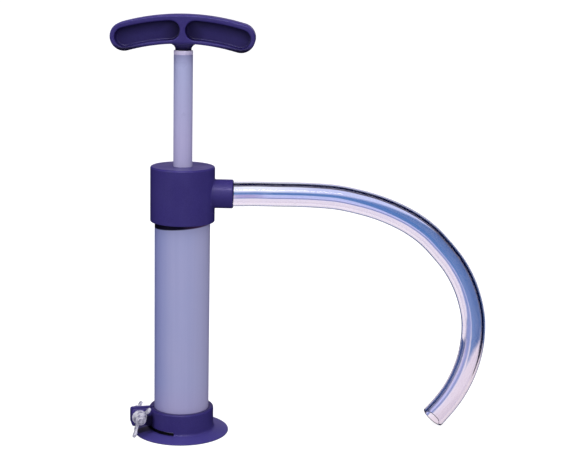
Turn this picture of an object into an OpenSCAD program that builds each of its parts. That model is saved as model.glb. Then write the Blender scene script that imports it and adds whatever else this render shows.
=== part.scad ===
// Hand bilge pump: a T-handled plunger in a plastic barrel, a cap with a side spout and a bent
// clear hose, and a clamp foot that a wing nut closes on the barrel.
// Units are millimetres. The origin is on the barrel's axis at the floor, +Z is up and
// +X points along the spout.

/* [Barrel] */
// Outer diameter of the barrel tube
barrel_d = 50; // [48:0.5:50]
// Wall of the barrel tube
barrel_wall = 2.4; // [2.2:0.1:2.8]

/* [Head] */
// Outer diameter of the cap on the barrel
head_d = 58; // [57:0.5:60]
// Height of the cap's top above the floor
head_top = 248; // [244:1:256]
// Height of the cap
head_h = 50; // [48:1:54]
// Outer diameter of the side spout
spout_d = 26; // [26:0.2:28]
// Distance from the barrel's axis to the spout's mouth
spout_reach = 45.6; // [44:0.2:50]

/* [Plunger] */
// Outer diameter of the plunger rod
rod_d = 17; // [16.4:0.1:17.4]
// Height of the rod's top end above the floor
rod_top = 351; // [347:1:356]
// Downward travel of the plunger from where it stands
stroke_down = 100; // [80:1:100]
// Upward travel of the plunger from where it stands
stroke_up = 72; // [50:1:72]

/* [Handle] */
// Width of the T-handle
grip_w = 127; // [120:1:136]
// Height of the handle's crown above the rod's top end
grip_rise = 31.3; // [30.5:0.1:33]
// Outer radius of the handle's arch
grip_arch_r = 198; // [170:1:220]
// Height of the grip's section
grip_h = 25; // [23:0.1:26]
// Thickness of the grip from front to back
grip_t = 26; // [24:0.5:28]

/* [Foot] */
// Outer diameter of the foot's flange
flange_d = 87; // [84:0.5:88.5]
// Height of the flange at its rim
flange_rim = 0.9; // [0.8:0.1:1.6]
// Height of the flange where it meets the collar
flange_rise = 3.4; // [3.2:0.1:3.6]
// Outer diameter of the clamp collar
collar_d = 59; // [58:0.5:59.5]
// Height of the collar's top above the floor
collar_top = 23.4; // [23.2:0.1:25]
// Angle of the clamp's lugs, from the side opposite the spout towards the front
clamp_turn = 14; // [0:1:30]

/* [Clamp hardware] */
// Thread diameter of the clamp bolt
bolt_d = 6; // [5:0.5:6]
// Distance from the barrel's axis to the bolt
bolt_reach = 40; // [39.5:0.1:40.2]
// Height of the bolt above the floor
bolt_z = 16.5; // [16.5:0.1:17]
// Tilt of the nut's wings from upright
wing_tilt = 30; // [0:5:60]

/* [Hose] */
// Outer diameter of the hose
hose_d = 22; // [20:0.5:22]
// Bore of the hose
hose_bore = 16; // [12:0.5:16]

/* [Hidden] */
$fn = 96;

indigo = [0.24, 0.21, 0.46];
milky = [0.62, 0.62, 0.77];
pale = [0.66, 0.64, 0.80];
nylon = [0.90, 0.89, 0.85];
rubber = [0.10, 0.10, 0.11];
zinc = [0.78, 0.78, 0.80];
clear_blue = [0.72, 0.80, 0.92];

eps = 0.01;
fit = 0.05; // radial clearance of a running or push fit

// Foot
collar_r = collar_d / 2;
flange_r = flange_d / 2;
barrel_r = barrel_d / 2;
bore_r = barrel_r - barrel_wall;
ledge_z = 3;
inlet_r = 21;
gasket_h = 1.5;
barrel_z0 = ledge_z + gasket_h;
lug_half = 6.5;
lug_reach = 47;
lug_z0 = 8;
lug_z1 = collar_top - 0.4;
slit_w = 2.5;
slot_h = 3.2;
slot_sweep = 67;

// Head
head_r = head_d / 2;
head_z0 = head_top - head_h;
socket_depth = 15;
barrel_z1 = head_z0 + socket_depth;
shoulder_z = barrel_z1 + gasket_h;
chamber_r = 22;
chamber_top = head_top - 10;
spout_z = head_top - 24.5;
spout_socket_x = 28;
gland_z0 = head_top - 20;
gland_z1 = head_top - 2;
gland_r = 12;
seal_z = head_top - 10.5;

// Foot valve
valve_plate_z = barrel_z0 + 4.5;
valve_plate_t = 3;
disc_r = 17.5;
disc_t = 1.6;
screw_r = 3;
port_r = 4;
port_ring_r = 12;
port_count = 6;
foot_screw_top = valve_plate_z + valve_plate_t + 8.5;

// Plunger, from its lowest point upwards
rod_r = rod_d / 2;
rod_bore_r = rod_r - 1.8;
piston_z0 = foot_screw_top + 1.5 + stroke_down;
piston_body_z = piston_z0 + 3;
piston_h = 12;
piston_top = piston_body_z + piston_h;
ring_z = piston_body_z + 3;
ring_h = 6;
ring_groove_r = 19.5;
stem_step = 5;
stem_r = 5.5;
rod_z0 = piston_top + 7.5;
ferrule_h = 3.8;
buffer_top = gland_z0 - stroke_up - 0.2;

// Handle
grip_r_in = grip_arch_r - grip_h;
arch_z = rod_top + grip_rise - grip_arch_r;
grip_mid_r = grip_arch_r - grip_h / 2;
grip_end_angle = asin((grip_w / 2 - grip_h / 2) / grip_mid_r);
pocket_rim_top = 4.6;
pocket_rim_low = 3.2;
pocket_web = 4.7;
pocket_floor = 3;
neck_r = 7.2;
neck_flare = 5.2;
neck_insert = 30;

// Clamp hardware, in the lug's own frame: +Y is the back, -Y the front
washer_r = 6.8;
washer_t = 1.2;
nut_y = -lug_half - washer_t;
nut_h = 8;
bolt_r = bolt_d / 2;
bolt_end_y = nut_y - nut_h - 3.5;
head_tilt = 35;

// Hose route: points on the hose's centre line, from the bottom of the spout's socket to
// the cut end, which rests on the floor a little behind the pump's middle plane.
hose_route = [
    [28, 0, 223.5], [46, 0, 223.5], [65, 0, 224], [83, 0, 224], [102, 0.5, 224],
    [120, 1, 223.5], [139, 2, 222], [157, 3, 218.5], [175, 4, 213.6], [192, 5, 207],
    [208, 6.5, 198.6], [223, 8, 187.7], [236.4, 9.5, 174], [248.3, 11.5, 159.5], [257.7, 13, 143.5],
    [264.5, 15, 126.5], [268.9, 17, 108.5], [269.8, 18.5, 90.5], [268.1, 20.5, 72],
    [263.7, 22.5, 54], [256.6, 24.5, 36.5], [247.7, 27, 21], [237.1, 29, 6.7]
];
hose_sides = 12;

// Points of an arc about [cx, cy], from angle a0 to a1
function arc(cx, cy, r, a0, a1, steps = 6) =
    [for (i = [0:steps]) let (a = a0 + (a1 - a0) * i / steps) [cx + r * cos(a), cy + r * sin(a)]];

function unit(v) = v / norm(v);

module ring(r_out, r_in, z0, h) {
    translate([0, 0, z0])
        difference() {
            cylinder(r = r_out, h = h);
            translate([0, 0, -eps]) cylinder(r = r_in, h = h + 2 * eps);
        }
}

// Ring of straight holes about the axis
module hole_ring(count, ring_r, r, z0, h) {
    for (i = [0:count - 1])
        rotate([0, 0, i * 360 / count]) translate([ring_r, 0, z0]) cylinder(r = r, h = h, $fn = 32);
}

// Everything on the clamp is drawn with its lugs along -X and then turned into place
module at_clamp() {
    rotate([0, 0, clamp_turn]) children();
}

// Turns a child's +Z to the clamp bolt's direction, from the front (-Y) to the back
module on_bolt(y) {
    at_clamp() translate([-bolt_reach, y, bolt_z]) rotate([-90, 0, 0]) children();
}

// ---------------------------------------------------------------- foot

module flange_profile() {
    polygon(concat(
        [[inlet_r, 0], [flange_r - 0.4, 0]],
        arc(flange_r - 0.6, flange_rim - 0.6, 0.6, 0, 80, 4),
        [[collar_r + 2.5, flange_rise]],
        arc(collar_r + 2.5, flange_rise + 2.5, 2.5, 270, 180, 5),
        arc(collar_r - 1.2, collar_top - 1.2, 1.2, 0, 90, 4),
        [[barrel_r + 0.6, collar_top], [barrel_r + fit, collar_top - 0.6],
         [barrel_r + fit, ledge_z], [inlet_r, ledge_z]]
    ));
}

module lug_plate() {
    corner = 2;
    h = lug_z1 - lug_z0;
    length = lug_reach - collar_r + 2.5;
    translate([-lug_reach, 0, lug_z0]) rotate([90, 0, 0])
        linear_extrude(height = 2 * lug_half, center = true)
            polygon(concat(
                [[length, 0], [length, h]],
                arc(corner, h - corner, corner, 90, 180),
                arc(corner, corner, corner, 180, 270)
            ));
}

// Curved slot under the front jaw, which lets it bend towards the barrel
module jaw_slot() {
    reach = 40;
    intersection() {
        ring(collar_r + 6, barrel_r - 1, flange_rise + 0.2, slot_h);
        at_clamp() translate([0, 0, flange_rise])
            linear_extrude(height = slot_h + 1)
                polygon([[0, 0], [-reach, 0], [-reach, -reach],
                         [reach * cos(180 + slot_sweep), reach * sin(180 + slot_sweep)]]);
    }
}

module base_foot() {
    color(indigo) difference() {
        union() {
            rotate_extrude() flange_profile();
            at_clamp() lug_plate();
        }
        at_clamp() translate([-lug_reach - 5, -slit_w / 2, flange_rise + 0.6])
            cube([lug_reach + 5 - barrel_r + 3, slit_w, collar_top]);
        jaw_slot();
        on_bolt(-lug_half - 5) cylinder(r = bolt_r + 0.2, h = 2 * lug_half + 10);
    }
}

module foot_gasket() {
    color(rubber) ring(barrel_r - 0.1, inlet_r, ledge_z, gasket_h);
}

module inlet_strainer() {
    hole_r = 1.8;
    color(nylon) difference() {
        translate([0, 0, 0.8]) cylinder(r = inlet_r - fit, h = 2);
        cylinder(r = hole_r, h = 4, $fn = 32);
        hole_ring(6, 6, hole_r, 0, 4);
        hole_ring(12, 11.5, hole_r, 0, 4);
        hole_ring(18, 17, hole_r, 0, 4);
    }
}

// ---------------------------------------------------------------- clamp hardware

// Flat wing in the XZ plane: +X outwards, +Z away from the clamp. Its round tip stands at
// tip_x from the bolt's axis and at tip_z from the washer.
module wing(root_r, tip_x, tip_z, tip_r, t) {
    rotate([90, 0, 0]) linear_extrude(height = t, center = true)
        union() {
            polygon([[root_r - 2, 0.8], [root_r + 1.2, 0.8], [tip_x + tip_r * 0.95, tip_z - tip_r * 0.3],
                     [tip_x - tip_r * 0.95, tip_z + tip_r * 0.3], [root_r - 1.6, nut_h * 0.85]]);
            translate([tip_x, tip_z]) circle(r = tip_r, $fn = 48);
        }
}

module wing_pair(root_r, tip_x, tip_z, tip_r, t) {
    wing(root_r, tip_x, tip_z, tip_r, t);
    mirror([1, 0, 0]) wing(root_r, tip_x, tip_z, tip_r, t);
}

// Bolt with a small winged head at the back of the clamp
module wing_bolt() {
    head_y = lug_half + washer_t;
    color(zinc) union() {
        on_bolt(bolt_end_y) cylinder(r = bolt_r, h = head_y - bolt_end_y + 1);
        on_bolt(head_y) cylinder(r1 = 5.5, r2 = 4.4, h = 5);
        on_bolt(head_y) rotate([0, 0, 90 + head_tilt]) wing_pair(4, 6.7, 7.6, 2.6, 2.4);
    }
}

module washer(y) {
    color(zinc) difference() {
        on_bolt(y) cylinder(r = washer_r, h = washer_t);
        on_bolt(y - 1) cylinder(r = bolt_r + fit, h = washer_t + 2);
    }
}

module rear_washer() {
    washer(lug_half);
}

module front_washer() {
    washer(nut_y);
}

module wing_nut() {
    color(zinc) difference() {
        at_clamp() translate([-bolt_reach, nut_y, bolt_z]) rotate([90, 0, 0]) rotate([0, 0, 90 - wing_tilt])
            union() {
                cylinder(r1 = 6.2, r2 = 4.9, h = nut_h);
                wing_pair(5.2, 12.6, 14, 2.8, 2.4);
            }
        on_bolt(nut_y - nut_h - 12) cylinder(r = bolt_r + fit, h = nut_h + 14);
    }
}

// ---------------------------------------------------------------- barrel and head

module barrel() {
    color(milky) ring(barrel_r, bore_r, barrel_z0, barrel_z1 - barrel_z0);
}

module head_shell_profile() {
    polygon(concat(
        [[0, head_z0 + 0.8]],
        arc(head_r - 1, head_z0 + 1, 1, 270, 360, 4),
        arc(head_r - 1.6, head_top - 1.6, 1.6, 0, 90, 5),
        [[0, head_top]]
    ));
}

module pump_head() {
    spout_r = spout_d / 2;
    chamfer = 0.9;
    color(indigo) difference() {
        union() {
            difference() {
                union() {
                    rotate_extrude() head_shell_profile();
                    translate([0, 0, spout_z]) rotate([0, 90, 0]) cylinder(r = spout_r, h = spout_reach - chamfer);
                    translate([spout_reach - chamfer, 0, spout_z]) rotate([0, 90, 0])
                        cylinder(r1 = spout_r, r2 = spout_r - chamfer, h = chamfer);
                }
                translate([0, 0, head_z0 - 1]) cylinder(r = barrel_r + fit, h = shoulder_z - head_z0 + 1);
                translate([0, 0, shoulder_z - eps]) cylinder(r = chamber_r, h = chamber_top - shoulder_z);
            }
            translate([0, 0, gland_z0]) cylinder(r = gland_r + 3, h = chamber_top - gland_z0 + 1);
        }
        translate([0, 0, gland_z0 - 1]) cylinder(r = gland_r + fit, h = gland_z1 - gland_z0 + 1);
        translate([0, 0, gland_z0]) cylinder(r = rod_r + 0.15, h = 40);
        translate([chamber_r - 4, 0, spout_z]) rotate([0, 90, 0]) cylinder(r = hose_bore / 2, h = 30);
        translate([spout_socket_x, 0, spout_z]) rotate([0, 90, 0]) cylinder(r = hose_d / 2 + fit, h = 30);
    }
}

module head_seal() {
    color(rubber) ring(barrel_r - 0.1, bore_r + 0.2, barrel_z1, gasket_h);
}

module gland_bush() {
    color(nylon) difference() {
        translate([0, 0, gland_z0]) cylinder(r = gland_r, h = gland_z1 - gland_z0);
        translate([0, 0, gland_z0 - 1]) cylinder(r = rod_r + fit, h = 30);
        ring(rod_r + 2.1, rod_r - 1, seal_z - 1.1, 2.2);
    }
}

module rod_seal() {
    cord_r = 0.98;
    color(rubber) translate([0, 0, seal_z])
        rotate_extrude() translate([rod_r + fit + cord_r, 0]) circle(r = cord_r, $fn = 32);
}

// ---------------------------------------------------------------- foot valve

module foot_valve_seat() {
    color(nylon) difference() {
        translate([0, 0, barrel_z0]) cylinder(r = bore_r - fit, h = valve_plate_z + valve_plate_t - barrel_z0);
        translate([0, 0, barrel_z0 - 1]) cylinder(r = 19, h = valve_plate_z - barrel_z0 + 1);
        hole_ring(port_count, port_ring_r, port_r, valve_plate_z - 1, valve_plate_t + 2);
        translate([0, 0, valve_plate_z - 1]) cylinder(r = screw_r + fit, h = valve_plate_t + 2);
    }
}

module foot_valve_disc() {
    color(rubber) ring(disc_r, screw_r + 0.2, valve_plate_z + valve_plate_t, disc_t);
}

module foot_valve_screw() {
    head_h = 2.5;
    color(zinc) union() {
        translate([0, 0, barrel_z0 + 0.7]) cylinder(r = screw_r, h = foot_screw_top - barrel_z0 - 1.7);
        translate([0, 0, foot_screw_top - head_h]) cylinder(r1 = 6.5, r2 = 5.5, h = head_h);
    }
}

module foot_valve_nut() {
    color(zinc) difference() {
        translate([0, 0, barrel_z0 + 0.7]) cylinder(r = 5.8, h = valve_plate_z - barrel_z0 - 0.7, $fn = 6);
        cylinder(r = screw_r + fit, h = 20);
    }
}

// ---------------------------------------------------------------- plunger

module piston_body() {
    color(nylon) difference() {
        translate([0, 0, piston_body_z]) cylinder(r = bore_r - 0.3, h = piston_h);
        ring(bore_r + 1, ring_groove_r, ring_z, ring_h);
        hole_ring(port_count, port_ring_r, port_r, piston_body_z - 1, piston_h + 2);
        translate([0, 0, piston_body_z - 1]) cylinder(r = screw_r + fit, h = piston_h + 2);
    }
}

module piston_ring() {
    color(rubber) ring(bore_r - fit, ring_groove_r + fit, ring_z + fit, ring_h - 2 * fit);
}

module piston_valve_disc() {
    color(rubber) ring(disc_r, stem_r + 0.2, piston_top, disc_t);
}

module valve_retainer() {
    color(zinc) ring(11, 5 + fit, piston_top + stem_step, rod_z0 - piston_top - stem_step);
}

module piston_screw() {
    color(zinc) union() {
        translate([0, 0, piston_z0]) cylinder(r1 = 5.2, r2 = 6, h = 3);
        translate([0, 0, piston_body_z - eps]) cylinder(r = screw_r, h = piston_h + 12);
    }
}

module rod_plug() {
    color(nylon) difference() {
        union() {
            translate([0, 0, piston_top]) cylinder(r = stem_r, h = stem_step);
            translate([0, 0, piston_top]) cylinder(r = 5, h = rod_z0 - piston_top + 1);
            translate([0, 0, rod_z0]) cylinder(r = rod_bore_r - fit, h = 20);
        }
        translate([0, 0, piston_top - 1]) cylinder(r = screw_r + fit, h = 15);
    }
}

module rod_tube() {
    color(pale) ring(rod_r, rod_bore_r, rod_z0, rod_top - ferrule_h - rod_z0);
}

module rod_ferrule() {
    groove = 0.5;
    color(pale) rotate_extrude() polygon([
        [rod_bore_r, rod_top - ferrule_h], [rod_r - 0.35, rod_top - ferrule_h],
        [rod_r - 0.35, rod_top - ferrule_h + groove], [rod_r, rod_top - ferrule_h + groove],
        [rod_r, rod_top - 0.7], [rod_r - 0.7, rod_top], [rod_bore_r, rod_top]
    ]);
}

module stop_buffer() {
    color(rubber) ring(12, rod_r + fit, rod_z0, buffer_top - rod_z0);
}

// ---------------------------------------------------------------- handle

// Arched bar with round ends, in the handle's XZ plane seen as XY. The ends are a hair
// smaller than the bar, so that their curves cross the bar's instead of only touching.
module arch_bar(r_in, r_out, a0, a1) {
    r_mid = (r_in + r_out) / 2;
    end_r = (r_out - r_in) / 2 - 0.03;
    far = r_out * 1.2;
    union() {
        intersection() {
            difference() {
                circle(r = r_out, $fn = 360);
                circle(r = r_in, $fn = 360);
            }
            polygon([[0, 0], [far * sin(a0), far * cos(a0)], [far * sin(a1), far * cos(a1)]]);
        }
        for (a = [a0, a1])
            translate([r_mid * sin(a), r_mid * cos(a)]) circle(r = end_r, $fn = 64);
    }
}

module grip_pocket() {
    r_in = grip_r_in + pocket_rim_low;
    r_out = grip_arch_r - pocket_rim_top;
    r_mid = (r_in + r_out) / 2;
    inner = asin((pocket_web / 2 + (r_out - r_in) / 2) / r_mid);
    arch_bar(r_in, r_out, inner, grip_end_angle);
}

module grip_layer(y0, t) {
    translate([0, y0 + t, arch_z]) rotate([90, 0, 0]) linear_extrude(height = t) children();
}

module neck_profile() {
    r_top = neck_r + neck_flare;
    base = arch_z + grip_r_in;
    polygon(concat(
        [[0, rod_top - neck_insert], [rod_bore_r - fit, rod_top - neck_insert], [rod_bore_r - fit, rod_top], [neck_r, rod_top]],
        arc(r_top, base - neck_flare + 0.6, neck_flare, 180, 90, 6),
        [[r_top, base + 1.8], [0, base + 1.8]]
    ));
}

module t_handle() {
    pocket_depth = (grip_t - pocket_floor) / 2;
    color(indigo) difference() {
        union() {
            grip_layer(-grip_t / 2, grip_t) arch_bar(grip_r_in, grip_arch_r, -grip_end_angle, grip_end_angle);
            rotate_extrude() neck_profile();
        }
        for (y = [-grip_t / 2 - 1, pocket_floor / 2])
            grip_layer(y, pocket_depth + 1) {
                grip_pocket();
                mirror([1, 0]) grip_pocket();
            }
    }
}

// ---------------------------------------------------------------- hose

// Direction of the route at point i
function heading(i) =
    let (n = len(hose_route))
    unit(hose_route[min(i + 1, n - 1)] - hose_route[max(i - 1, 0)]);

// One ring of the hose's wall: points about route point i, at radius r
function hose_ring(i, r) =
    let (t = heading(i), side = unit(cross(t, [0, 1, 0])), up = cross(side, t))
    [for (k = [0:hose_sides - 1])
        let (a = (k + 0.5) * 360 / hose_sides) hose_route[i] + r * cos(a) * side + r * sin(a) * up];

// Side faces of one skin; a flipped skin faces the other way
function skin_faces(first, rings, flip) =
    [for (i = [0:rings - 2], k = [0:hose_sides - 1])
        let (
            k2 = (k + 1) % hose_sides,
            a = first + i * hose_sides + k,
            b = first + i * hose_sides + k2,
            c = b + hose_sides,
            d = a + hose_sides
        )
        flip ? [d, c, b, a] : [a, b, c, d]];

// Ring-shaped end face between the outer and the inner skin
function end_faces(outer, inner, flip) =
    [for (k = [0:hose_sides - 1])
        let (k2 = (k + 1) % hose_sides)
        flip ? [outer + k, outer + k2, inner + k2, inner + k]
             : [inner + k, inner + k2, outer + k2, outer + k]];

module outlet_hose() {
    rings = len(hose_route);
    inner = rings * hose_sides;
    last = (rings - 1) * hose_sides;
    points = concat(
        [for (i = [0:rings - 1]) each hose_ring(i, hose_d / 2)],
        [for (i = [0:rings - 1]) each hose_ring(i, hose_bore / 2)]
    );
    faces = concat(
        skin_faces(0, rings, false),
        skin_faces(inner, rings, true),
        end_faces(0, inner, false),
        end_faces(last, inner + last, true)
    );
    color(clear_blue) polyhedron(points = points, faces = faces, convexity = 6);
}

base_foot();
foot_gasket();
inlet_strainer();
wing_bolt();
rear_washer();
front_washer();
wing_nut();
barrel();
pump_head();
head_seal();
gland_bush();
rod_seal();
foot_valve_seat();
foot_valve_disc();
foot_valve_screw();
foot_valve_nut();
outlet_hose();
piston_ring();
piston_body();
piston_valve_disc();
valve_retainer();
piston_screw();
rod_plug();
rod_tube();
rod_ferrule();
stop_buffer();
t_handle();
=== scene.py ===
import math

import bmesh
import bpy
from mathutils import Matrix, Vector


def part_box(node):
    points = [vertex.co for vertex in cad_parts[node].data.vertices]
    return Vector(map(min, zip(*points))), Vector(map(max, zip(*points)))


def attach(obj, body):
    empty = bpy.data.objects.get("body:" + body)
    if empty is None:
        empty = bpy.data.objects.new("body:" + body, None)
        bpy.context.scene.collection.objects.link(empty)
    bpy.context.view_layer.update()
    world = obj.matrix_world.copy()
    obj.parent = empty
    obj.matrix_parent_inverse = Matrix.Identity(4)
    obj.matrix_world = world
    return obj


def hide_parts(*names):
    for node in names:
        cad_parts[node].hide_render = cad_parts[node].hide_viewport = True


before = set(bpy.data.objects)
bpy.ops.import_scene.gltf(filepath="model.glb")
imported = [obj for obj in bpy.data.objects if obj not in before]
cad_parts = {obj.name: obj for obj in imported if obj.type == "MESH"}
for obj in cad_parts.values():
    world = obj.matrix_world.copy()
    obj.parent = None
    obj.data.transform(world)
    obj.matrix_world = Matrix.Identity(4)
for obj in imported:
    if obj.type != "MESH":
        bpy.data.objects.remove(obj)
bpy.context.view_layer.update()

# Hand bilge pump. Shapes are given in millimetres and built in metres.
MM = 0.001
scene = bpy.context.scene


# ---------------------------------------------------------------- sizes

def span(node):
    """A CAD node's lowest and highest corner, in millimetres"""
    low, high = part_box(node)
    return low / MM, high / MM


BARREL_LOW, BARREL_HIGH = span("barrel")
HEAD_LOW, HEAD_HIGH = span("pump_head")
ROD_LOW, ROD_HIGH = span("rod_tube")
FERRULE_LOW, FERRULE_HIGH = span("rod_ferrule")
HANDLE_HIGH = span("t_handle")[1]
FOOT_HIGH = span("base_foot")[1]
BARREL_R = BARREL_HIGH.x
ROD_R = ROD_HIGH.x
HEAD_R = -HEAD_LOW.x
HEAD_Z0 = HEAD_LOW.z
HEAD_Z1 = HEAD_HIGH.z
SPOUT_X = HEAD_HIGH.x
FLANGE_R = FOOT_HIGH.x
COLLAR_TOP = FOOT_HIGH.z
GRIP_TOP = HANDLE_HIGH.z
GRIP_T = HANDLE_HIGH.y

# sizes that no node's box gives, the same as in the CAD
SPOUT_R, SPOUT_Z = 13.0, HEAD_Z1 - 24.5
HOSE_R, HOSE_BORE_R = 11.0, 8.0
COLLAR_R = 29.5
SLOT_LOW, SLOT_HIGH = 3.6, 6.8
CLAMP_TURN = math.radians(14)
LUG_HALF, LUG_Z0 = 6.5, 8
BOLT_X, BOLT_Z = -40.0, 16.5
HOLE_R = 3.05
WASHER_R, WASHER_T = 6.8, 1.2
NUT_H = 8.0
# how close to the axis a turned outline comes where the piece is solid
AXIS = 0.01


# ---------------------------------------------------------------- camera

def make_camera():
    """A long lens that looks down a little and is rolled a little"""
    data = bpy.data.cameras.new("camera")
    data.lens, data.sensor_width, data.sensor_fit = 86.79, 36.0, "HORIZONTAL"
    data.clip_start, data.clip_end = 0.05, 30.0
    camera = bpy.data.objects.new("camera", data)
    scene.collection.objects.link(camera)
    pitch, roll = math.radians(11.8), math.radians(1.2)
    place = (0.09042, -1.204148, 0.442022)
    right = Vector((1, 0, 0))
    forward = Vector((0, math.cos(pitch), -math.sin(pitch)))
    up = right.cross(forward)
    right, up = (
        math.cos(roll) * right + math.sin(roll) * up,
        math.cos(roll) * up - math.sin(roll) * right,
    )
    turn = Matrix((right, up, -forward)).transposed().to_4x4()
    camera.matrix_world = Matrix.Translation(place) @ turn
    scene.camera = camera


make_camera()
scene.view_settings.view_transform = "Standard"
scene.view_settings.look = "None"


# ---------------------------------------------------------------- materials

def srgb(r, g, b):
    """A screen colour of 0 to 255 as the linear colour that Blender uses"""
    linear = [c / 255 / 12.92 if c <= 10 else ((c / 255 + 0.055) / 1.055) ** 2.4 for c in (r, g, b)]
    return (*linear, 1.0)


class Shader:
    """A material with a Principled shader, and short calls to add and join its nodes"""

    def __init__(self, name, **values):
        self.material = bpy.data.materials.new(name)
        self.material.use_nodes = True
        self.nodes, self.links = self.material.node_tree.nodes, self.material.node_tree.links
        self.shader = self.nodes["Principled BSDF"]
        for key, value in values.items():
            self.shader.inputs[key.replace("_", " ")].default_value = value

    def feed(self, socket, value):
        """Joins an input to another node's output, or sets it to a plain value"""
        if isinstance(value, bpy.types.NodeSocket):
            self.links.new(value, socket)
        else:
            socket.default_value = value

    def add(self, kind, settings=None, **inputs):
        """A new node, with its settings and its inputs filled in"""
        made = self.nodes.new(kind)
        for key, value in (settings or {}).items():
            setattr(made, key, value)
        for key, value in inputs.items():
            self.feed(made.inputs[key.replace("_", " ")], value)
        return made

    def into(self, key, socket):
        self.links.new(socket, self.shader.inputs[key])

    def place(self, stretch=(1, 1, 1)):
        """The point on the object, in metres, stretched along each axis"""
        where = self.add("ShaderNodeTexCoord").outputs["Object"]
        return self.add("ShaderNodeMapping", Vector=where, Scale=stretch).outputs["Vector"]

    def noise(self, scale, detail, stretch=(1, 1, 1)):
        made = self.add(
            "ShaderNodeTexNoise", Vector=self.place(stretch), Scale=scale, Detail=detail, Roughness=0.55
        )
        return made.outputs["Fac"]

    def remap(self, value, from_min, from_max, to_min, to_max):
        made = self.add(
            "ShaderNodeMapRange", Value=value,
            From_Min=from_min, From_Max=from_max, To_Min=to_min, To_Max=to_max,
        )
        return made.outputs["Result"]

    def spread(self, scale, detail, low=0, high=1, stretch=(1, 1, 1)):
        """Noise with its middle stretched to run from low to high"""
        return self.remap(self.noise(scale, detail, stretch), 0.3, 0.7, low, high)

    def mix(self, factor, first, second):
        """Mixes two colours. They are inputs 6 and 7 of the node, and its output 2."""
        made = self.add("ShaderNodeMix", {"data_type": "RGBA"}, Factor=factor)
        self.feed(made.inputs[6], first)
        self.feed(made.inputs[7], second)
        return made.outputs[2]

    def math(self, operation, first, second=0):
        made = self.add("ShaderNodeMath", {"operation": operation})
        self.feed(made.inputs[0], first)
        self.feed(made.inputs[1], second)
        return made.outputs["Value"]

    def product(self, first, *others):
        """All the values multiplied together"""
        for other in others:
            first = self.math("MULTIPLY", first, other)
        return first

    def axes(self, vector=None):
        """The three coordinates of a point, in metres"""
        parts = self.add("ShaderNodeSeparateXYZ", Vector=self.place() if vector is None else vector)
        return parts.outputs["X"], parts.outputs["Y"], parts.outputs["Z"]

    def around(self):
        """Distance from the barrel's axis, in metres"""
        x, y, _ = self.axes()
        return self.math("SQRT", self.math("ADD", self.product(x, x), self.product(y, y)))

    def between(self, value, low, high, soft):
        """1 between two values in millimetres, and 0 outside them"""
        up = self.remap(value, (low - soft / 2) * MM, (low + soft / 2) * MM, 0, 1)
        down = self.remap(value, (high - soft / 2) * MM, (high + soft / 2) * MM, 1, 0)
        return self.product(up, down)

    def bump(self, height, distance, strength, normal=None):
        made = self.add("ShaderNodeBump", Height=height, Distance=distance, Strength=strength)
        if normal:
            self.links.new(normal, made.inputs["Normal"])
        return made.outputs["Normal"]


def indigo_plastic(name="indigo_plastic"):
    """Moulded indigo plastic: a fine grain, faint flow marks and a little wear in the gloss"""
    s = Shader(name, IOR=1.48)
    specks = s.remap(s.noise(900, 2), 0.35, 0.65, 0, 0.25)
    colour = s.mix(s.spread(26, 4), srgb(53, 44, 109), srgb(60, 52, 118))
    s.colour = s.mix(specks, colour, srgb(74, 64, 136))
    s.into("Base Color", s.colour)
    s.into("Roughness", s.spread(60, 3, 0.29, 0.39))
    grain = s.bump(s.noise(2600, 2), 0.00003, 0.5)
    s.into("Normal", s.bump(s.noise(90, 2), 0.0001, 0.4, grain))
    return s


def foot_plastic():
    """The same plastic on the foot, with painted light on the flange's top, painted shade inside the jaw's
    slot and on the collar's rim against the barrel, and painted shadow beside the lug and under it"""
    s = indigo_plastic("foot_plastic")
    radius, height = s.around(), s.axes()[2]
    # x and y lie along and across the lugs
    turned = s.add("ShaderNodeMapping", Vector=s.place(), Rotation=(0, 0, -CLAMP_TURN)).outputs["Vector"]
    x, y, _ = s.axes(turned)
    inside, far_out, far_up, far_down = 10, 60, 40, -5
    # painted shade: the inside of the jaw's slot is painted near black
    slot = s.product(
        s.between(radius, inside, COLLAR_R - 0.25, 0.3),
        s.between(height, SLOT_LOW - 0.1, SLOT_HIGH + 0.1, 0.2),
    )
    # painted shade on the collar's top rim against the barrel
    rim = s.product(
        s.between(radius, inside, COLLAR_R - 0.7, 0.8), s.between(height, COLLAR_TOP - 0.8, far_up, 0.4)
    )
    # painted shadow in the corner between the lug and the collar
    beside = s.product(
        s.between(x, -34.5, -27.6, 2), s.between(y, -13.5, -4.5, 1.5), s.between(height, 3, 18, 3)
    )
    # painted shadow under the lug, on the flange
    under = s.product(
        s.between(x, -41.5, -28, 2), s.between(y, -7.8, 4, 1.5),
        s.between(height, far_down, LUG_Z0 + 0.1, 0.2),
    )
    # painted light on the flange's top, which faces the top light
    flange = s.product(s.between(radius, COLLAR_R + 1.5, far_out, 3), s.between(height, 0.6, 5, 0.4))
    colour = s.mix(s.product(flange, 0.55), s.colour, srgb(76, 70, 140))
    colour = s.mix(s.product(rim, 0.6), colour, srgb(34, 26, 72))
    colour = s.mix(s.product(s.math("MAXIMUM", beside, under), 0.9), colour, srgb(8, 5, 24))
    s.into("Base Color", s.mix(slot, colour, srgb(6, 4, 16)))
    return s.material


def grip_plastic():
    """The same plastic on the handle, with painted shade that darkens it down the neck to where it meets
    the rod
    """
    s = indigo_plastic("grip_plastic")
    # painted shade down the neck, darkest where it meets the rod
    painted_shade = s.remap(s.axes()[2], (FERRULE_HIGH.z + 1.2) * MM, (FERRULE_HIGH.z + 6) * MM, 0.9, 0)
    s.into("Base Color", s.mix(painted_shade, s.colour, srgb(12, 7, 32)))
    return s.material


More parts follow.
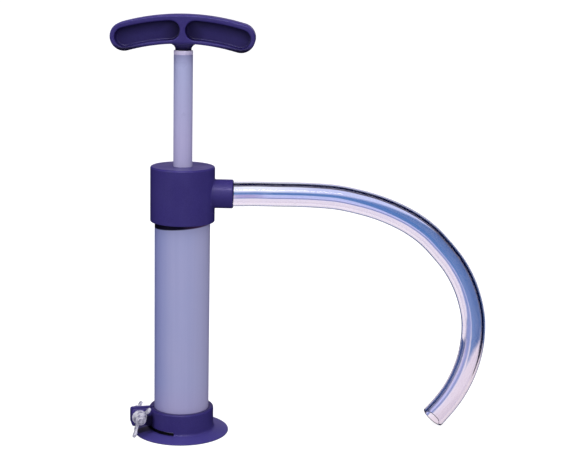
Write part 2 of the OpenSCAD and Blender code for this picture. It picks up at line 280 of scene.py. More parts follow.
def pocket_shaded_plastic():
    """The same plastic in the handle's hollows, painted darker all over as shade, with more painted shade
    under the ceiling and by the middle
    """
    s = indigo_plastic("pocket_shaded_plastic")
    x, _, z = s.axes()
    # the arch, of about 185 mm radius, is followed by adding its drop to the height
    arch_radius = 0.185
    level = s.math("ADD", z, s.product(x, x, 0.5 / arch_radius))
    # painted shade under the hollow's ceiling and towards the middle of the bar
    ceiling = s.remap(level, (GRIP_TOP - 15) * MM, (GRIP_TOP - 5) * MM, 0, 0.75)
    middle = s.remap(s.math("ABSOLUTE", x), 0.006, 0.02, 0.8, 0)
    painted_shade = s.math("MAXIMUM", ceiling, middle)
    # painted shade: the whole hollow is darker than the plastic, by a little more or less at random
    colour = s.mix(s.remap(s.noise(30, 3), 0, 1, 0.1, 0.3), s.colour, srgb(35, 24, 92))
    s.into("Base Color", s.mix(painted_shade, colour, srgb(22, 11, 66)))
    return s.material


def barrel_plastic():
    """Milky lavender tube, with drawing lines along it, painted shade in a cooler tone on the left side,
    painted light on the right side, a warmer lower end, and a painted shadow as a dark line where it goes
    into the cap"""
    s = Shader("barrel_plastic", IOR=1.49)
    colour = s.mix(s.spread(420, 3, stretch=(1, 1, 0.012)), srgb(172, 175, 209), srgb(178, 180, 213))
    colour = s.mix(s.spread(18, 4, 0, 0.6), colour, srgb(168, 175, 211))
    x, _, height = s.axes()
    # painted shade on the left side of the tube, in a cooler blue
    colour = s.mix(s.remap(x, -0.025, -0.008, 0.75, 0), colour, srgb(136, 147, 202))
    # painted light on the right side of the tube
    colour = s.mix(s.remap(x, 0.008, 0.025, 0, 0.6), colour, srgb(192, 191, 216))
    colour = s.mix(s.remap(height, 0.02, 0.05, 0.45, 0), colour, srgb(184, 168, 204))
    # painted shadow: a dark band just under the cap, reaching lower on the left and redder to the right
    slant = s.math("SUBTRACT", height, s.product(x, 0.085))
    under = s.remap(slant, (HEAD_Z0 - 4.0) * MM, (HEAD_Z0 - 3.2) * MM, 0, 1)
    painted_shade = s.mix(s.remap(x, 0.002, 0.018, 0, 1), srgb(14, 7, 40), srgb(84, 48, 92))
    s.into("Base Color", s.mix(under, colour, painted_shade))
    s.into("Roughness", s.spread(70, 5, 0.3, 0.44))
    fine = s.bump(s.noise(700, 2, (1, 1, 0.01)), 0.00005, 0.5)
    s.into("Normal", s.bump(s.noise(14, 3), 0.0003, 0.4, fine))
    return s.material


def rod_plastic():
    """Satin lavender tube of the plunger, cooler towards the top, with painted shade just under the
    ferrule
    """
    s = Shader("rod_plastic", IOR=1.49)
    height = s.axes()[2]
    colour = s.mix(s.spread(700, 3, stretch=(1, 1, 0.02)), srgb(186, 181, 214), srgb(192, 187, 218))
    colour = s.mix(s.remap(height, 0.27, 0.33, 0, 0.8), colour, srgb(181, 187, 219))
    # painted shade on the rod just under the ferrule
    s.into("Base Color", s.mix(s.remap(height, 0.338, 0.348, 0, 0.5), colour, srgb(120, 116, 160)))
    s.into("Roughness", s.spread(90, 5, 0.26, 0.4))
    s.into("Normal", s.bump(s.noise(900, 2, (1, 1, 0.02)), 0.00004, 0.5))
    return s.material


def ferrule_plastic():
    """Paler collar at the top of the rod"""
    s = Shader("ferrule_plastic", Roughness=0.34, IOR=1.49)
    s.into("Base Color", s.mix(s.spread(300, 3), srgb(222, 213, 238), srgb(232, 224, 243)))
    s.into("Normal", s.bump(s.noise(1500, 2), 0.00003, 0.5))
    return s.material


def zinc_steel():
    """Bright zinc plate, with a soft mottle, dark specks at random painted in as dark reflections, and
    fine scratches
    """
    s = Shader("zinc_steel", Metallic=0.35)
    # dark specks at random, a painted reflection of dark surroundings on the bright plate
    painted_dark_reflection = s.remap(s.noise(230, 2), 0.5, 0.66, 0, 0.7)
    plate = s.mix(s.spread(240, 4), srgb(255, 254, 255), srgb(238, 236, 246))
    s.into("Base Color", s.mix(painted_dark_reflection, plate, srgb(96, 90, 132)))
    s.into("Roughness", s.spread(420, 5, 0.12, 0.24))
    scratches = s.bump(s.noise(1600, 3, (1, 0.06, 1)), 0.00003, 0.6)
    s.into("Normal", s.bump(s.noise(260, 3), 0.00012, 0.5, scratches))
    return s.material


def nylon():
    """Natural nylon of the inner pieces"""
    s = Shader("nylon", Roughness=0.5, IOR=1.5)
    s.into("Base Color", s.mix(s.spread(120, 4), srgb(228, 225, 212), srgb(214, 210, 196)))
    s.into("Normal", s.bump(s.noise(1500, 3), 0.00005, 0.5))
    return s.material


def rubber():
    """Black rubber of the seals, washers and buffer"""
    s = Shader("rubber", IOR=1.5)
    s.into("Base Color", s.mix(s.spread(400, 4), srgb(24, 24, 27), srgb(36, 36, 40)))
    s.into("Roughness", s.spread(300, 4, 0.6, 0.8))
    s.into("Normal", s.bump(s.noise(1800, 3), 0.00008, 0.6))
    return s.material


def clear_hose():
    """Clear plastic hose: a smooth bore and faint drawing marks"""
    s = Shader("clear_hose", IOR=1.5, Transmission_Weight=1.0)
    s.into("Base Color", s.mix(s.spread(60, 3), srgb(252, 251, 254), srgb(247, 247, 254)))
    s.into("Roughness", s.spread(160, 4, 0.02, 0.05))
    s.into("Normal", s.bump(s.noise(50, 2), 0.0002, 0.25))
    return s.material


def cut_face():
    """The hose's sawn end: matt and pale, with fine saw marks"""
    s = Shader("hose_cut_face", Roughness=0.7, IOR=1.5, Transmission_Weight=0.25)
    across = (1, 0.1, 1)
    s.into("Base Color", s.mix(s.spread(900, 2, stretch=across), srgb(250, 246, 252), srgb(240, 236, 248)))
    s.into("Normal", s.bump(s.noise(1800, 2, across), 0.00005, 0.5))
    return s.material


INDIGO, FOOT, GRIP, POCKET_SHADE = indigo_plastic().material, foot_plastic(), grip_plastic(), pocket_shaded_plastic()
BARREL, ROD, FERRULE = barrel_plastic(), rod_plastic(), ferrule_plastic()
ZINC, NYLON, RUBBER, HOSE, CUT = zinc_steel(), nylon(), rubber(), clear_hose(), cut_face()


# ---------------------------------------------------------------- mesh tools

def finish_mesh(bm, name, material, angle=35):
    """A Blender object in metres from a bmesh in millimetres, with its sharp edges kept"""
    bmesh.ops.remove_doubles(bm, verts=bm.verts, dist=1e-4)
    bmesh.ops.recalc_face_normals(bm, faces=bm.faces)
    bmesh.ops.scale(bm, vec=(MM, MM, MM), verts=bm.verts)
    mesh = bpy.data.meshes.new(name)
    bm.to_mesh(mesh)
    bm.free()
    mesh.shade_smooth()
    mesh.set_sharp_from_angle(angle=math.radians(angle))
    mesh.materials.append(material)
    made = bpy.data.objects.new(name, mesh)
    scene.collection.objects.link(made)
    return made


def strip(bm, loops, closed=True):
    """Quads between each loop of vertices and the next"""
    count = len(loops[0])
    for first, second in zip(loops, loops[1:]):
        for i in range(count if closed else count - 1):
            j = (i + 1) % count
            bm.faces.new((first[i], first[j], second[j], second[i]))


def rounded(points, steps=6, hold=0.12):
    """An outline of (x, y, radius) points with round corners. Beside each corner is one more
    point, which keeps the flat beyond it flat in the shading."""
    out = []
    for i, (x, y, radius) in enumerate(points):
        corner = Vector((x, y))
        if not radius:
            out.append((x, y))
            continue
        before = (Vector(points[i - 1][:2]) - corner).normalized()
        after = (Vector(points[(i + 1) % len(points)][:2]) - corner).normalized()
        half = before.angle(after) / 2
        reach = radius / math.tan(half)
        centre = corner + (before + after).normalized() * (radius / math.sin(half))
        start, end = corner + before * reach - centre, corner + after * reach - centre
        a0 = math.atan2(start.y, start.x)
        turn = (math.atan2(end.y, end.x) - a0 + math.pi) % (2 * math.pi) - math.pi
        out.append(tuple(centre + start + before * hold))
        for k in range(steps + 1):
            a = a0 + turn * k / steps
            out.append((centre.x + radius * math.cos(a), centre.y + radius * math.sin(a)))
        out.append(tuple(centre + end + after * hold))
    return out


def lathe(bm, outline, segments, place=None):
    """Turns a closed (radius, height) outline about Z, and then moves it with a matrix"""
    loops = []
    for k in range(segments):
        a = 2 * math.pi * k / segments
        loops.append([bm.verts.new((r * math.cos(a), r * math.sin(a), z)) for r, z in outline])
    made = [v for loop in loops for v in loop]
    strip(bm, loops + loops[:1])
    if place is not None:
        bmesh.ops.transform(bm, matrix=place, verts=made)


def plate(bm, outline, low, high, edge, place):
    """A flat plate: a closed outline in XY between two heights, with its rims rounded, which is
    then moved with a matrix"""
    piece = bmesh.new()
    bottom = [piece.verts.new((x, y, low)) for x, y in outline]
    top = [piece.verts.new((x, y, high)) for x, y in outline]
    strip(piece, [bottom, top])
    faces = [piece.faces.new(bottom), piece.faces.new(top)]
    bmesh.ops.recalc_face_normals(piece, faces=piece.faces)
    rims = [e for f in faces for e in f.edges]
    bmesh.ops.bevel(piece, geom=rims, offset=edge, segments=3, profile=0.5, affect="EDGES")
    bmesh.ops.transform(piece, matrix=place, verts=piece.verts)
    mesh = bpy.data.meshes.new("part")
    piece.to_mesh(mesh)
    piece.free()
    bm.from_mesh(mesh)
    bpy.data.meshes.remove(mesh)


def settle(piece, body, slot, *nodes):
    """Puts a piece on its body in the place of its CAD nodes"""
    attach(piece, body)
    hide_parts(*nodes)


# ---------------------------------------------------------------- hose

HOSE_ROUTE = [
    (28, 0, 223.5), (46, 0, 223.5), (65, 0, 224), (83, 0, 224), (102, 0.5, 224),
    (120, 1, 223.5), (139, 2, 222), (157, 3, 218.5), (175, 4, 213.6), (192, 5, 207),
    (208, 6.5, 198.6), (223, 8, 187.7), (236.4, 9.5, 174), (248.3, 11.5, 159.5), (257.7, 13, 143.5),
    (264.5, 15, 126.5), (268.9, 17, 108.5), (269.8, 18.5, 90.5), (268.1, 20.5, 72),
    (263.7, 22.5, 54), (256.6, 24.5, 36.5), (247.7, 27, 21), (237.1, 29, 6.7),
]


def smooth_route(points, steps=6):
    """Points on a Catmull-Rom curve through the route's points"""
    pts = [Vector(p) for p in points]
    ends = [2 * pts[0] - pts[1], *pts, 2 * pts[-1] - pts[-2]]
    out = []
    for i in range(1, len(ends) - 2):
        a, b, c, d = ends[i - 1 : i + 3]
        slope, bend, twist = c - a, 2 * a - 5 * b + 4 * c - d, 3 * b - a - 3 * c + d
        for k in range(steps):
            t = k / steps
            out.append(0.5 * (2 * b + slope * t + bend * t * t + twist * t**3))
    return out + [pts[-1]]


def make_hose():
    """A round tube along the route, with flat sawn ends"""
    route = smooth_route(HOSE_ROUTE)
    sides = 64
    bm = bmesh.new()
    skins = {}
    for radius in (HOSE_R, HOSE_BORE_R):
        loops = []
        for i, point in enumerate(route):
            along = (route[min(i + 1, len(route) - 1)] - route[max(i - 1, 0)]).normalized()
            side = along.cross(Vector((0, 1, 0))).normalized()
            up = side.cross(along)
            loops.append([
                bm.verts.new(point + radius * (math.cos(a) * side + math.sin(a) * up))
                for a in (2 * math.pi * k / sides for k in range(sides))
            ])
        strip(bm, loops)
        skins[radius] = loops
    walls = set(bm.faces)
    for end in (0, -1):
        strip(bm, [skins[HOSE_R][end], skins[HOSE_BORE_R][end]])
    for face in set(bm.faces) - walls:
        face.material_index = 1
    hose = finish_mesh(bm, "outlet_hose_clear", HOSE, 50)
    hose.data.materials.append(CUT)
    settle(hose, "pump", "clear_hose", "outlet_hose")


make_hose()


# ---------------------------------------------------------------- barrel, rod and head

def make_barrel():
    """The tube, 0.05 mm wider inside than the piston's ring"""
    inner = -span("piston_ring")[0].x + 0.05
    bm = bmesh.new()
    lathe(bm, rounded([
        (BARREL_R, BARREL_LOW.z, 0.5), (BARREL_R, BARREL_HIGH.z, 0.5),
        (inner, BARREL_HIGH.z, 0.4), (inner, BARREL_LOW.z, 0.4),
    ]), 192)
    settle(finish_mesh(bm, "barrel_tube", BARREL), "pump", "barrel_plastic", "barrel")


def make_rod():
    """The plunger's tube, and the paler ferrule on its top end"""
    bore = ROD_R - 1.8
    bm = bmesh.new()
    lathe(bm, rounded([
        (ROD_R, ROD_LOW.z, 0.3), (ROD_R, ROD_HIGH.z, 0.15), (bore, ROD_HIGH.z, 0), (bore, ROD_LOW.z, 0),
    ], hold=0.05), 96)
    settle(finish_mesh(bm, "plunger_rod", ROD), "plunger", "rod_plastic", "rod_tube")
    bm = bmesh.new()
    groove = FERRULE_LOW.z + 0.5
    lathe(bm, rounded([
        (ROD_R - 0.4, FERRULE_LOW.z, 0), (ROD_R - 0.4, groove, 0), (ROD_R, groove, 0.2),
        (ROD_R, FERRULE_HIGH.z, 0.6), (bore, FERRULE_HIGH.z, 0), (bore, FERRULE_LOW.z, 0),
    ], hold=0.05), 96)
    settle(finish_mesh(bm, "rod_end_ferrule", FERRULE), "plunger", "rod_plastic", "rod_ferrule")


def make_head():
    """The cap, hollow over the barrel and round the gland, with the spout moulded in"""
    bm = bmesh.new()
    bore, shoulder = BARREL_R + 0.05, BARREL_HIGH.z + 1.5
    chamber, chamber_top = 22.0, HEAD_Z1 - 10
    rod_hole, bush, boss = ROD_R + 0.15, 12.05, 15.0
    lip, boss_low = HEAD_Z1 - 2, HEAD_Z1 - 20
    lathe(bm, rounded([
        (HEAD_R, HEAD_Z0, 0.8), (HEAD_R, HEAD_Z1, 1.7), (rod_hole, HEAD_Z1, 0.5), (rod_hole, lip, 0),
        (bush, lip, 0), (bush, boss_low, 0), (boss, boss_low, 0), (boss, chamber_top, 0),
        (chamber, chamber_top, 1), (chamber, shoulder, 0), (bore, shoulder, 0), (bore, HEAD_Z0, 0.5),
    ]), 192)
    # the spout: a small fillet on the cap, a chamfered mouth and the socket's inside
    sides, steps, fillet, chamfer = 96, 5, 0.9, 0.9
    socket, socket_end, sleeve = HOSE_R + 0.05, 28.5, 6

    def around(radius, height, on_cap):
        loop = []
        for k in range(sides):
            a = 2 * math.pi * k / sides
            y, z = radius * math.sin(a), radius * math.cos(a)
            x = (math.sqrt(HEAD_R**2 - y**2) if on_cap else 0) + height
            loop.append(bm.verts.new((x, y, SPOUT_Z + z)))
        return loop

    arcs = [math.pi / 2 * k / steps for k in range(steps + 1)]
    loops = [around(SPOUT_R + fillet + 0.15, -0.15, True)]
    loops += [around(SPOUT_R + fillet * (1 - math.sin(a)), fillet * (1 - math.cos(a)), True) for a in arcs]
    mouth = rounded([
        (SPOUT_X - chamfer - sleeve, SPOUT_R, 0), (SPOUT_X - chamfer, SPOUT_R, 0.35),
        (SPOUT_X, SPOUT_R - chamfer, 0.3), (SPOUT_X, socket, 0.2), (socket_end, socket, 0),
        (socket_end, 0.2, 0),
    ], 3, 0.05)
    loops += [around(r, x, False) for x, r in mouth]
    strip(bm, loops)
    bm.faces.new(loops[-1])
    settle(finish_mesh(bm, "head_cap", INDIGO), "pump", "indigo_plastic", "pump_head")


make_barrel()
make_rod()
make_head()


# ---------------------------------------------------------------- handle

def arch_loop(bm, r_mid, half, a0, a1, y, centre_z, along=72, round_end=20):
    """One loop of vertices round an arched bar with round ends, at depth y"""
    def at(a, radial, tangent):
        return bm.verts.new((
            (r_mid + radial) * math.sin(a) + tangent * math.cos(a),
            y,
            centre_z + (r_mid + radial) * math.cos(a) - tangent * math.sin(a),
        ))

    loop = [at(a0 + (a1 - a0) * k / along, half, 0) for k in range(along + 1)]
    turns = [math.pi * k / round_end for k in range(1, round_end)]
    loop += [at(a1, half * math.cos(t), half * math.sin(t)) for t in turns]
    loop += [at(a1 + (a0 - a1) * k / along, -half, 0) for k in range(along + 1)]
    loop += [at(a0, -half * math.cos(t), -half * math.sin(t)) for t in turns]
    return loop


def edges_of(bm, loop):
    """The edges round a loop, made where there are none"""
    return [bm.edges.get((a, b)) or bm.edges.new((a, b)) for a, b in zip(loop, loop[1:] + loop[:1])]


def make_handle():
    """An arched bar with two hollows on each face, and a neck that flares into its underside"""
    r_out, height = 198.0, 25.0
    half, r_mid = height / 2, r_out - height / 2
    centre_z = GRIP_TOP - r_out
    end = math.asin((HANDLE_HIGH.x - half) / r_mid)
    rim_top, rim_low, web, floor = 4.6, 3.2, 4.7, 1.5
    pocket_half = (height - rim_top - rim_low) / 2
    pocket_mid = r_out - rim_top - pocket_half
    pocket_start = math.asin((web / 2 + pocket_half) / pocket_mid)
    # hold is how far a loop that keeps a flat flat in the shading stands beside a rounded edge
    edge, lip, foot, draft, hold = 1.7, 1.1, 1.6, 0.05, 0.1
    quarter = [math.pi / 2 * k / 6 for k in range(7)]
    bm = bmesh.new()

    def outside(inset, depth):
        """A loop round the bar, inset from its outline and at a depth from the middle plane"""
        return arch_loop(bm, r_mid, half - inset, -end, end, depth, centre_z)

    def hollow(face, side, grow, depth):
        """A loop round a pocket, outset from its wall and at a depth from the middle plane"""
        low, high = sorted((side * pocket_start, side * end))
        return arch_loop(bm, pocket_mid, pocket_half + grow, low, high, face * depth, centre_z, 40)

    rims = []
    for face in (-1, 1):
        loops = [outside(0, 0)]
        loops += [
            outside(edge * (1 - math.cos(a)), face * (GRIP_T - edge * (1 - math.sin(a)))) for a in quarter
        ]
        loops.append(outside(edge + 1.5 * hold, face * GRIP_T))
        strip(bm, loops)
        rim = edges_of(bm, loops[-1])
        for side in (-1, 1):
            mouth = [hollow(face, side, lip + hold, GRIP_T)]
            mouth += [
                hollow(face, side, lip * (1 - math.sin(a)), GRIP_T - lip * (1 - math.cos(a)))
                for a in quarter
            ]
            wall = [hollow(face, side, -draft, floor + foot + hold)]
            wall += [
                hollow(face, side, -draft - foot * (1 - math.cos(a)), floor + foot * (1 - math.sin(a)))
                for a in quarter
            ]
            wall.append(hollow(face, side, -foot - 2 * hold, floor))
            # the hollow's material, painted darker as shade, starts at the last band of the lip
            before = set(bm.faces)
            strip(bm, mouth[-2:] + wall)
            bmesh.ops.triangle_fill(bm, use_beauty=True, use_dissolve=False, edges=edges_of(bm, wall[-1]))
            for made in set(bm.faces) - before:
                made.material_index = 1
            strip(bm, mouth[:-1])
            rim += edges_of(bm, mouth[0])
        rims.append(rim)
    for rim in rims:
        bmesh.ops.triangle_fill(bm, use_beauty=True, use_dissolve=False, edges=rim)
    # the neck flares on an arc that is neither upright nor level at its ends
    under = centre_z + r_out - height
    neck, flare, slope = 7.2, 5.2, math.radians(15)
    flare_r, chamfer, straight, sunk = 12.0, 0.3, 1.6, 1.6
    bore, neck_z, foot_z = ROD_R - 1.85, FERRULE_HIGH.z, FERRULE_HIGH.z - 30
    arc_z = neck_z + straight - flare * math.sin(slope)
    turns = [slope + (math.pi / 2 - 2 * slope) * k / 8 for k in range(9)]
    curve = [(neck + flare * (math.cos(slope) - math.cos(a)), arc_z + flare * math.sin(a)) for a in turns]
    lathe(bm, [
        (bore, foot_z), (bore, neck_z), (neck - chamfer, neck_z), (neck, neck_z + chamfer), *curve,
        (flare_r, under - chamfer), (flare_r, under + sunk), (AXIS, under + sunk), (AXIS, foot_z),
    ], 96)
    grip = finish_mesh(bm, "t_handle_grip", GRIP)
    grip.data.materials.append(POCKET_SHADE)
    settle(grip, "plunger", "indigo_plastic", "t_handle")


make_handle()


# ---------------------------------------------------------------- foot

def make_foot():
    """The flange and the split collar, cut by a slot under the front jaw, and the two lugs"""
    turn = math.pi + CLAMP_TURN
    slit, slot_end = 1.25, 67
    rim, rise, bore, ledge, inlet = 0.9, 3.4, BARREL_R + 0.05, 3.0, 21.0
    fillet, gap = 2.5, 0.02
    quarter = [math.pi / 2 * k / 10 for k in range(11)]
    cove = [(COLLAR_R + fillet * (1 - math.sin(a)), rise + fillet * (1 - math.cos(a))) for a in quarter]
    low_cove = [p for p in cove if p[1] < SLOT_LOW - gap]
    high_cove = [p for p in cove if SLOT_LOW + gap < p[1] < SLOT_HIGH - gap]
    cut_r = COLLAR_R + fillet * (1 - math.sqrt(1 - (1 - (SLOT_LOW - rise) / fillet) ** 2))
    sheet = rounded([
        (inlet, 0, 0), (FLANGE_R, 0, 0.15), (FLANGE_R, rim, 0.5), (COLLAR_R + fillet, rise, 0),
    ], 4, 0.08)
    outer_low = sheet[:-1] + low_cove
    cut = [(cut_r, SLOT_LOW)]
    top = rounded([
        (COLLAR_R, SLOT_HIGH, 0), (COLLAR_R, COLLAR_TOP, 1.5), (bore, COLLAR_TOP, 0.6), (bore, 0, 0),
    ], 6, 0.1)[1:-1]
    inner = [(bore, SLOT_HIGH), (bore, SLOT_LOW), (bore, ledge), (inlet, ledge)]
    full = outer_low + cut + high_cove + [(COLLAR_R, SLOT_HIGH)] + top + inner
    n_low, n_cut = len(outer_low), len(outer_low) + len(cut)
    n_high = n_cut + len(high_cove)
    inner_high = n_high + 1 + len(top)
    whole = list(range(len(full)))
    flange = whole[:n_cut] + whole[inner_high + 1:]
    jaw = whole[n_high:inner_high + 1]

    # each column is a plane through the foot: its angle from the slit, in degrees, and how far
    # that plane stands beside the axis, so that the slit's two faces are parallel
    columns = [(0, slit)] + [(angle, 0) for angle in range(4, slot_end - 1, 2)]
    slot_stop = len(columns)
    columns += [(angle, 0) for angle in range(slot_end, 359, 2)]
    slit_start = len(columns)
    columns.append((0, -slit))

    bm = bmesh.new()
    rings = []
    for angle, offset in columns:
        ring = []
        for r, z in full:
            a = turn + math.radians(angle) + math.asin(offset / r)
            ring.append(bm.verts.new((r * math.cos(a), r * math.sin(a), z)))
        rings.append(ring)

    def walls(first, second, outline):
        for i, j in zip(outline, outline[1:] + outline[:1]):
            bm.faces.new((first[i], second[i], second[j], first[j]))

    for i, (first, second) in enumerate(zip(rings, rings[1:])):
        if i < slot_stop:
            walls(first, second, flange)
            walls(first, second, jaw)
        else:
            walls(first, second, whole)
    walls(rings[-1], rings[0], flange)
    bm.faces.new([rings[0][i] for i in jaw])
    slot_wall = whole[n_low:n_high + 1] + whole[inner_high:inner_high + 2]
    bm.faces.new([rings[slot_stop][i] for i in slot_wall])
    bm.faces.new([rings[slit_start][i] for i in whole[n_low:inner_high + 2]])

    # the two lugs, one each side of the slit
    corner, lug_top, lug_edge = 2.2, COLLAR_TOP - 0.4, 0.6
    far, near = -47, -27
    lug = rounded([
        (far, LUG_Z0, corner), (near, LUG_Z0, 0), (near, lug_top, 0), (far, lug_top, corner),
    ], 6, 0.1)
    for side in (-1, 1):
        y0, y1 = sorted((side * slit, side * LUG_HALF))
        place = Matrix.Rotation(CLAMP_TURN, 4, "Z") @ Matrix.Rotation(math.pi / 2, 4, "X")
        plate(bm, lug, -y1, -y0, lug_edge, place)
    settle(finish_mesh(bm, "clamp_foot", FOOT), "foot", "indigo_plastic", "base_foot")


make_foot()


# ---------------------------------------------------------------- clamp hardware

def clamped(value):
    """The nearest value from 0 to 1"""
    return min(1, max(0, value))


def on_bolt(y, front):
    """The bolt's own frame: +Z points away from the clamp, to the front or to the back"""
    place = Matrix.Rotation(CLAMP_TURN, 4, "Z") @ Matrix.Translation((BOLT_X, y, BOLT_Z))
    return place @ Matrix.Rotation(math.pi / 2 if front else -math.pi / 2, 4, "X")


def wing_outline(root, tip_x, tip_z, tip_r, waist):
    """Outline of one wing in XY: a broad root, a waist and a round tip. The widths are half
    widths, at places from 0 at the root to 1 at the tip's centre."""
    tip, base = Vector((tip_x, tip_z)), Vector((root - 1.5, 3.2))
    along = (tip - base).normalized()
    across = Vector((-along.y, along.x))
    reach = (tip - base).length
    widths = [(0.0, 3.1), (0.25, 2.5), (0.5, waist), (0.7, waist * 1.05), (0.84, tip_r * 0.9)]
    left = [base + along * reach * t + across * w for t, w in widths]
    right = [base + along * reach * t - across * w for t, w in reversed(widths)]
    start = math.atan2(across.y, across.x)
    turns = [start - math.pi * k / 14 for k in range(15)]
    cap = [tip + tip_r * Vector((math.cos(a), math.sin(a))) for a in turns]
    return [tuple(p) for p in left + cap + right]


def wings(bm, place, thickness, edge, **shape):
    """Two flat wings, one each side of the bolt"""
    outline = wing_outline(**shape)
    stand = Matrix.Rotation(math.pi / 2, 4, "X")
    for turn in (0, math.pi):
        turned = place @ Matrix.Rotation(turn, 4, "Z") @ stand
        plate(bm, outline, -thickness / 2, thickness / 2, edge, turned)


def make_washer(name, node, body, y):
    """A flat washer whose front face is at y, in the clamp's own frame"""
    bm = bmesh.new()
    outline = rounded([
        (WASHER_R, 0, 0.25), (WASHER_R, WASHER_T, 0.25), (HOLE_R, WASHER_T, 0.2), (HOLE_R, 0, 0.2),
    ], 4, 0.05)
    lathe(bm, outline, 96, on_bolt(y, False))
    settle(finish_mesh(bm, name, ZINC), body, "zinc_steel", node)


def make_nut():
    """The wing nut: a tapered body on the front washer, with its wings tilted 30 degrees"""
    place = on_bolt(-LUG_HALF - WASHER_T, True) @ Matrix.Rotation(math.radians(60), 4, "Z")
    skirt, root, tip = 6.2, 6.1, 4.9
    bm = bmesh.new()
    outline = rounded([
        (skirt, 0, 0.4), (root, 1.4, 0.5), (tip, NUT_H, 0.9), (HOLE_R, NUT_H, 0.4), (HOLE_R, 0, 0.3),
    ], 4, 0.08)
    lathe(bm, outline, 96, place)
    wings(bm, place, 2.3, 0.75, root=5.2, tip_x=12.6, tip_z=14.0, tip_r=2.8, waist=1.5)
    settle(finish_mesh(bm, "wing_nut_zinc", ZINC), "clamp_nut", "zinc_steel", "wing_nut")


def make_bolt():
    """The threaded bolt, and its small winged head at the back"""
    head_y = LUG_HALF + WASHER_T
    end_y = -LUG_HALF - WASHER_T - NUT_H - 3.5
    length = head_y - end_y
    bm = bmesh.new()
    # the thread climbs one pitch for each turn, and fades out at both ends
    radius, pitch, depth, sides, step = 2.98, 1.0, 0.45, 36, 0.125
    plain_tip, plain_root, fade, chamfer = 0.4, 1, 0.6, 0.5
    loops = []
    for row in range(int(length / step) + 1):
        z = row * step
        cut = depth * clamped((z - plain_tip) / fade) * clamped((length - plain_root - z) / fade)
        taper = max(0, chamfer - z) * 0.8
        loop = []
        for k in range(sides):
            phase = (z / pitch - k / sides) % 1
            flank = min(1, 1.25 * abs(2 * phase - 1))
            r = radius - cut * flank - taper
            a = 2 * math.pi * k / sides
            loop.append(bm.verts.new((r * math.cos(a), r * math.sin(a), z)))
        loops.append(loop)
    strip(bm, loops)
    bm.faces.new(loops[0])
    bm.faces.new(loops[-1])
    bmesh.ops.transform(bm, matrix=on_bolt(end_y, False), verts=bm.verts)
    head = on_bolt(head_y, False)
    head_root, head_tip, head_h = 5.5, 4.4, 5
    outline = rounded([
        (head_root, 0, 0.4), (head_tip, head_h, 1.2), (AXIS, head_h, 0), (AXIS, 0, 0),
    ], 4, 0.08)
    lathe(bm, outline, 96, head)
    turned = head @ Matrix.Rotation(math.radians(125), 4, "Z")
    wings(bm, turned, 2.3, 0.7, root=4.0, tip_x=6.7, tip_z=7.6, tip_r=2.5, waist=1.7)
    settle(finish_mesh(bm, "wing_bolt_zinc", ZINC, 50), "foot", "zinc_steel", "wing_bolt")


make_washer("washer_front_zinc", "front_washer", "clamp_washer", -LUG_HALF - WASHER_T)
make_washer("washer_rear_zinc", "rear_washer", "foot", LUG_HALF)
make_nut()
make_bolt()


# ---------------------------------------------------------------- inner pieces

INNER = {
    "inlet_strainer": NYLON, "gland_bush": NYLON, "foot_valve_seat": NYLON, "piston_body": NYLON,
    "rod_plug": NYLON,
    "foot_gasket": RUBBER, "head_seal": RUBBER, "rod_seal": RUBBER, "foot_valve_disc": RUBBER,
    "piston_ring": RUBBER, "piston_valve_disc": RUBBER, "stop_buffer": RUBBER,
    "foot_valve_screw": ZINC, "foot_valve_nut": ZINC, "valve_retainer": ZINC, "piston_screw": ZINC,
}
for name, finish in INNER.items():
    for material_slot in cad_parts[name].material_slots:
        material_slot.material = finish


# ---------------------------------------------------------------- stage and light

def seen_by(thing, **rays):
    """Only the named rays meet a stage object or light: camera, diffuse, glossy, transmission"""
    for ray in ("camera", "diffuse", "glossy", "transmission"):
        setattr(thing, "visible_" + ray, rays.get(ray, False))


def emission(name, strength, diffuse=0.0):
    """A glowing material for the stage, white until its colour is linked"""
    s = Shader(name, Roughness=0.9, Specular_IOR_Level=0, Emission_Strength=strength)
    s.shader.inputs["Base Color"].default_value = (diffuse, diffuse, diffuse, 1)
    s.shader.inputs["Emission Color"].default_value = (1, 1, 1, 1)
    return s


def make_sweep():
    """White floor that curves up into a wall all round, in metres. Only the camera sees it."""
    flat, bend, wall_top, sides = 2.4, 0.9, 5.0, 96
    arcs = [math.pi / 2 * k / 16 for k in range(17)]
    corner = [(flat + bend * math.sin(a), bend * (1 - math.cos(a))) for a in arcs]
    outline = [(0.001, 0), (flat / 2, 0), *corner, (flat + bend, wall_top)]
    bm = bmesh.new()
    loops = []
    for k in range(sides):
        a = 2 * math.pi * k / sides
        loops.append([
            bm.verts.new((r * math.cos(a) / MM, r * math.sin(a) / MM, z / MM)) for r, z in outline
        ])
    strip(bm, loops + loops[:1], closed=False)
    sweep = finish_mesh(bm, "floor_sweep", emission("floor_white", 0.9, 0.3).material)
    sweep.location.z = -0.0002
    seen_by(sweep, camera=True)


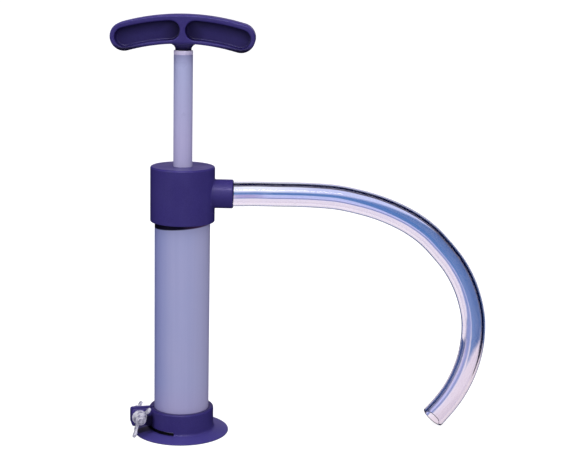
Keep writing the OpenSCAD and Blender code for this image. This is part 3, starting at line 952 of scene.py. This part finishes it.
def make_surround():
    """What the clear hose shows, by compass angle and height in degrees: white ahead, a blue
    band that widens to the right with a paler blue dip below it in the middle, slate blue to
    the left, pink low down and navy all round above. Only rays through the hose see it."""
    bm = bmesh.new()
    bmesh.ops.create_uvsphere(bm, u_segments=64, v_segments=32, radius=20 / MM)
    s = emission("surround", 1.2)
    where = s.add("ShaderNodeTexCoord").outputs["Object"]
    direction = s.add("ShaderNodeVectorMath", {"operation": "NORMALIZE"})
    s.links.new(where, direction.inputs[0])
    x, y, z = s.axes(direction.outputs["Vector"])
    across = s.product(s.math("ARCTAN2", x, y), math.degrees(1))
    level = s.product(s.math("ARCSINE", z), math.degrees(1))

    def line(*points):
        """A level that changes with the compass angle"""
        ramp = s.add("ShaderNodeValToRGB", Fac=s.remap(across, -90, 90, 0, 1))
        band = ramp.color_ramp
        while len(band.elements) < len(points):
            band.elements.new(0.5)
        for element, (angle, height) in zip(band.elements, points):
            shade = (height + 90) / 180
            element.position, element.color = (angle + 90) / 180, (shade, shade, shade, 1)
        return s.remap(ramp.outputs["Color"], 0, 1, -90, 90)

    def over(value, edge, soft):
        """1 where a value is over an edge, 0 where it is under it"""
        return s.remap(s.math("SUBTRACT", value, edge), -soft / 2, soft / 2, 0, 1)

    blue_top = line((-90, -7.5), (2, -7.5), (12, -2), (22, 3.5), (90, 10))
    blue_low = line((-90, -11), (2.5, -11), (5, -15), (8, -17.2), (29, -17.6), (90, -17.6))
    navy_low = line(
        (-90, 8), (0, 8), (10, 6), (20, 1), (27, -6), (32, -20), (45, -24), (60, -34), (72, -34), (80, 8)
    )
    corner = s.math("MINIMUM", s.math("SUBTRACT", -2, across), s.math("SUBTRACT", -11.5, level))
    pink = s.math("MAXIMUM", s.math("SUBTRACT", -15.5, level), corner)
    pink_rim = s.remap(s.math("ABSOLUTE", pink), 0.3, 1, 1, 0)
    ahead = over(across, -4, 3)
    under_blue = over(blue_low, level, 2)
    right_tail = s.product(over(blue_low, level, 2.5), over(across, 6, 4))
    blue = s.product(ahead, over(level, blue_low, 1), over(blue_top, level, 2.5))
    dip = s.product(
        over(level, -17.2, 0.8), over(-15.5, level, 0.8), over(across, -9, 4), over(5.4, across, 2)
    )
    left = s.product(over(-5, across, 5), over(across, -62, 8), over(level, -15.6, 1))

    colour = s.mix(s.remap(across, -1.5, 2, 0, 1), srgb(240, 244, 254), srgb(198, 205, 240))
    colour = s.mix(s.product(ahead, under_blue), colour, srgb(190, 197, 238))
    colour = s.mix(over(pink, 0, 1), colour, srgb(233, 223, 233))
    colour = s.mix(s.product(pink_rim, over(4, across, 3)), colour, srgb(168, 160, 204))
    colour = s.mix(right_tail, colour, srgb(221, 207, 216))
    blue_tone = s.mix(s.remap(across, 4, 16, 0, 1), srgb(90, 126, 182), srgb(60, 96, 152))
    colour = s.mix(blue, colour, blue_tone)
    colour = s.mix(s.product(dip, 0.85), colour, srgb(98, 124, 182))
    colour = s.mix(left, colour, srgb(62, 80, 130))
    s.into("Emission Color", s.mix(over(level, navy_low, 3), colour, srgb(3, 4, 42)))
    surround = finish_mesh(bm, "surround", s.material)
    surround.location = (0.22, 0, 0.15)
    seen_by(surround, transmission=True)


def softbox(name, size, place, power, diffuse=True, glossy=True, colour=(1, 1, 1)):
    """A rectangular light that faces the middle of the pump"""
    middle = Vector((0.1, 0, 0.18))
    data = bpy.data.lights.new(name, "AREA")
    data.shape, data.size, data.size_y = "RECTANGLE", size[0], size[1]
    data.energy, data.color = power, colour
    light = bpy.data.objects.new(name, data)
    light.location = place
    light.rotation_euler = (middle - Vector(place)).to_track_quat("-Z", "Y").to_euler()
    scene.collection.objects.link(light)
    seen_by(light, diffuse=diffuse, glossy=glossy)


def make_world():
    """Soft light from all round, which only matt surfaces take up"""
    world = bpy.data.worlds.new("world")
    world.use_nodes = True
    background = world.node_tree.nodes["Background"]
    background.inputs["Color"].default_value = srgb(214, 212, 240)
    background.inputs["Strength"].default_value = 0.55
    scene.world = world
    for ray in ("camera", "glossy", "transmission"):
        setattr(world.cycles_visibility, ray, False)


make_sweep()
make_surround()
make_world()
softbox("top_box", size=(1.6, 1.2), place=(0.0, -0.3, 1.9), power=24, glossy=False)
softbox("front_box", size=(1.4, 1.4), place=(0.5, -2.25, 1.0), power=17, glossy=False)
softbox("back_box", size=(1.6, 1.4), place=(0.5, 2.3, 1.2), power=12, glossy=False)
softbox("left_box", size=(0.5, 1.2), place=(-1.3, -1.2, 0.9), power=4)
# these two only give the glossy streaks
violet, deep_violet = (0.86, 0.8, 1), (0.72, 0.62, 1)
softbox("key_strip", size=(1.4, 0.22), place=(0.0, -1.3, 1.65), power=10, diffuse=False, colour=violet)
softbox("back_card", size=(1.5, 0.6), place=(0.1, 2.5, 0.6), power=1.8, diffuse=False, colour=deep_violet)
